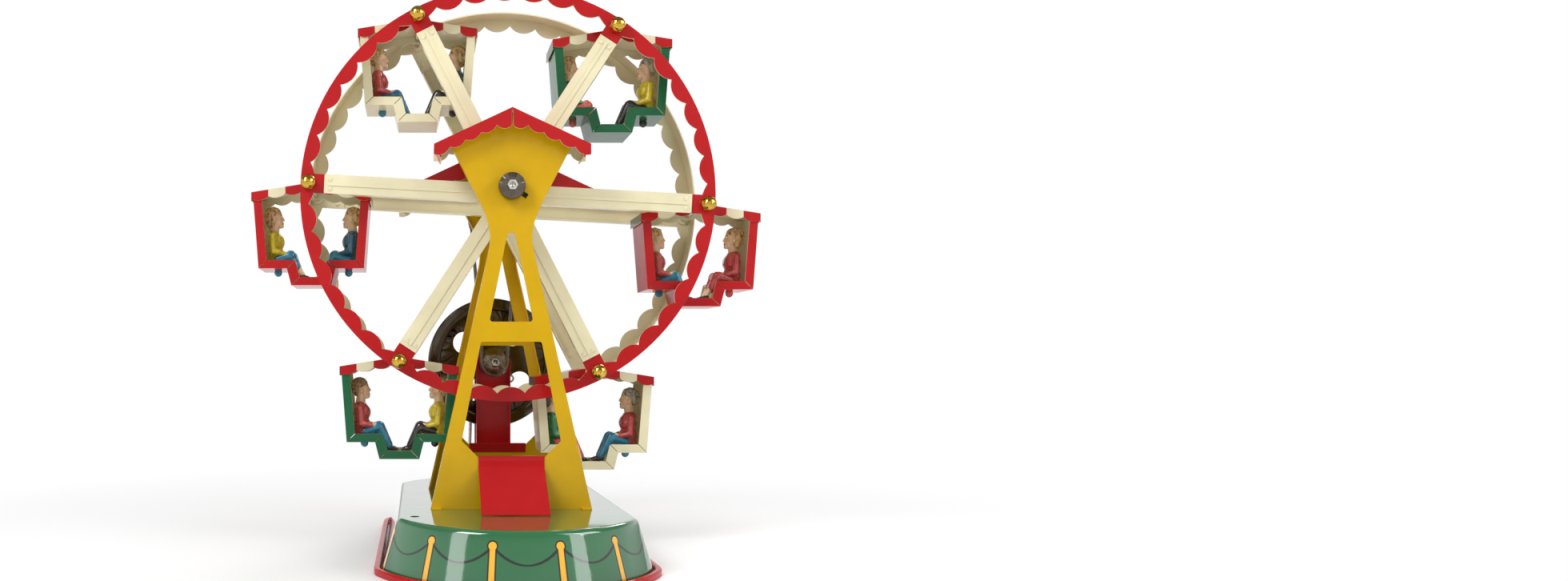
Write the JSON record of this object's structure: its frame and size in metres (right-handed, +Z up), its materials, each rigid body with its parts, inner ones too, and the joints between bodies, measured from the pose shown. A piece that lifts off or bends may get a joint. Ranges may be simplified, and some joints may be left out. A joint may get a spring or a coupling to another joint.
{
  "type": "ferris wheel toy",
  "caption": "Tin-plate ferris wheel toy: a wheel with hanging gondolas and seated riders between two towers, driven by a belt from a flywheel.",
  "frame": {"origin": "middle of the base, on the surface it stands on", "axes": "+X along the wheel's plane, to the right seen from the front; +Y along the shaft, towards the flywheel; +Z up"},
  "size_m": [0.2826, 0.2514, 0.3081],
  "materials": {
    "green_litho": "glossy printed enamel",
    "red_enamel": "glossy enamel",
    "yellow_enamel": "glossy enamel",
    "cream_enamel": "satin enamel",
    "green_enamel": "glossy enamel",
    "figure_paint": "printed tin in several colours",
    "brass": "polished",
    "chrome": "polished",
    "bright_steel": "plain",
    "dark_steel": "burnished",
    "belt_rubber": "dull"
  },
  "bodies": {
    "base": {"base_tub": "green_litho", "base_rim": "red_enamel", "front_tower": "yellow_enamel", "rear_tower": "yellow_enamel", "shaft_bushes": "brass", "front_roof": "red_enamel", "rear_roof": "red_enamel", "front_ramp": "red_enamel", "rear_ramp": "red_enamel", "drive_stand": "red_enamel", "stand_bushes": "brass", "stand_screw": "bright_steel", "rod_clip": "bright_steel", "guide_rod": "chrome", "side_hook": "bright_steel", "drive_belt": "belt_rubber"},
    "wheel": {"front_ring": "red_enamel", "rear_ring": "red_enamel", "front_spokes": "cream_enamel", "rear_spokes": "cream_enamel", "spoke_rivets": "cream_enamel", "hub_tube": "bright_steel", "main_shaft": "bright_steel", "front_collar": "chrome", "collar_grub_screw": "dark_steel", "front_nut": "bright_steel", "large_pulley": "dark_steel", "pulley_nut": "brass", "gondola_axles": "bright_steel", "axle_cap_nuts": "brass", "axle_washers": "cream_enamel"},
    "flywheel": {"flywheel": "dark_steel", "flywheel_axle": "bright_steel", "small_pulley": "dark_steel", "axle_nut": "bright_steel", "ball_knob": "chrome"},
    "gondola_1": {"gondola_1_frame": "red_enamel", "gondola_1_canopy": "red_enamel", "gondola_1_left_rider": "figure_paint", "gondola_1_right_rider": "figure_paint"},
    "gondola_2": {"gondola_2_frame": "green_enamel", "gondola_2_canopy": "green_enamel", "gondola_2_left_rider": "figure_paint", "gondola_2_right_rider": "figure_paint"},
    "gondola_3": {"gondola_3_frame": "cream_enamel", "gondola_3_canopy": "cream_enamel", "gondola_3_left_rider": "figure_paint", "gondola_3_right_rider": "figure_paint"},
    "gondola_4": {"gondola_4_frame": "red_enamel", "gondola_4_canopy": "red_enamel", "gondola_4_left_rider": "figure_paint", "gondola_4_right_rider": "figure_paint"},
    "gondola_5": {"gondola_5_frame": "green_enamel", "gondola_5_canopy": "green_enamel", "gondola_5_left_rider": "figure_paint", "gondola_5_right_rider": "figure_paint"},
    "gondola_6": {"gondola_6_frame": "cream_enamel", "gondola_6_canopy": "cream_enamel", "gondola_6_left_rider": "figure_paint", "gondola_6_right_rider": "figure_paint"}
  },
  "joints": [
    {"name": "wheel_spin", "type": "hinge", "parent": "base", "child": "wheel", "pos_m": [0, 0, 0.1953], "axis": [0, 1, 0], "continuous": true},
    {"name": "flywheel_spin", "type": "hinge", "parent": "base", "child": "flywheel", "pos_m": [0, 0, 0.1045], "axis": [0, 1, 0], "continuous": true},
    {"name": "gondola_1_swing", "type": "hinge", "parent": "wheel", "child": "gondola_1", "pos_m": [0.10814, 0, 0.18944], "axis": [0, 1, 0], "continuous": true},
    {"name": "gondola_2_swing", "type": "hinge", "parent": "wheel", "child": "gondola_2", "pos_m": [0.05914, 0, 0.28602], "axis": [0, 1, 0], "continuous": true},
    {"name": "gondola_3_swing", "type": "hinge", "parent": "wheel", "child": "gondola_3", "pos_m": [-0.049, 0, 0.29188], "axis": [0, 1, 0], "continuous": true},
    {"name": "gondola_4_swing", "type": "hinge", "parent": "wheel", "child": "gondola_4", "pos_m": [-0.10814, 0, 0.20116], "axis": [0, 1, 0], "continuous": true},
    {"name": "gondola_5_swing", "type": "hinge", "parent": "wheel", "child": "gondola_5", "pos_m": [-0.05914, 0, 0.10458], "axis": [0, 1, 0], "continuous": true},
    {"name": "gondola_6_swing", "type": "hinge", "parent": "wheel", "child": "gondola_6", "pos_m": [0.049, 0, 0.09872], "axis": [0, 1, 0], "continuous": true}
  ],
  "couplings": [
    {"joint": "flywheel_spin", "follows": "wheel_spin", "ratio": 2},
    {"joint": "gondola_1_swing", "follows": "wheel_spin", "ratio": -1},
    {"joint": "gondola_2_swing", "follows": "wheel_spin", "ratio": -1},
    {"joint": "gondola_3_swing", "follows": "wheel_spin", "ratio": -1},
    {"joint": "gondola_4_swing", "follows": "wheel_spin", "ratio": -1},
    {"joint": "gondola_5_swing", "follows": "wheel_spin", "ratio": -1},
    {"joint": "gondola_6_swing", "follows": "wheel_spin", "ratio": -1}
  ]
}
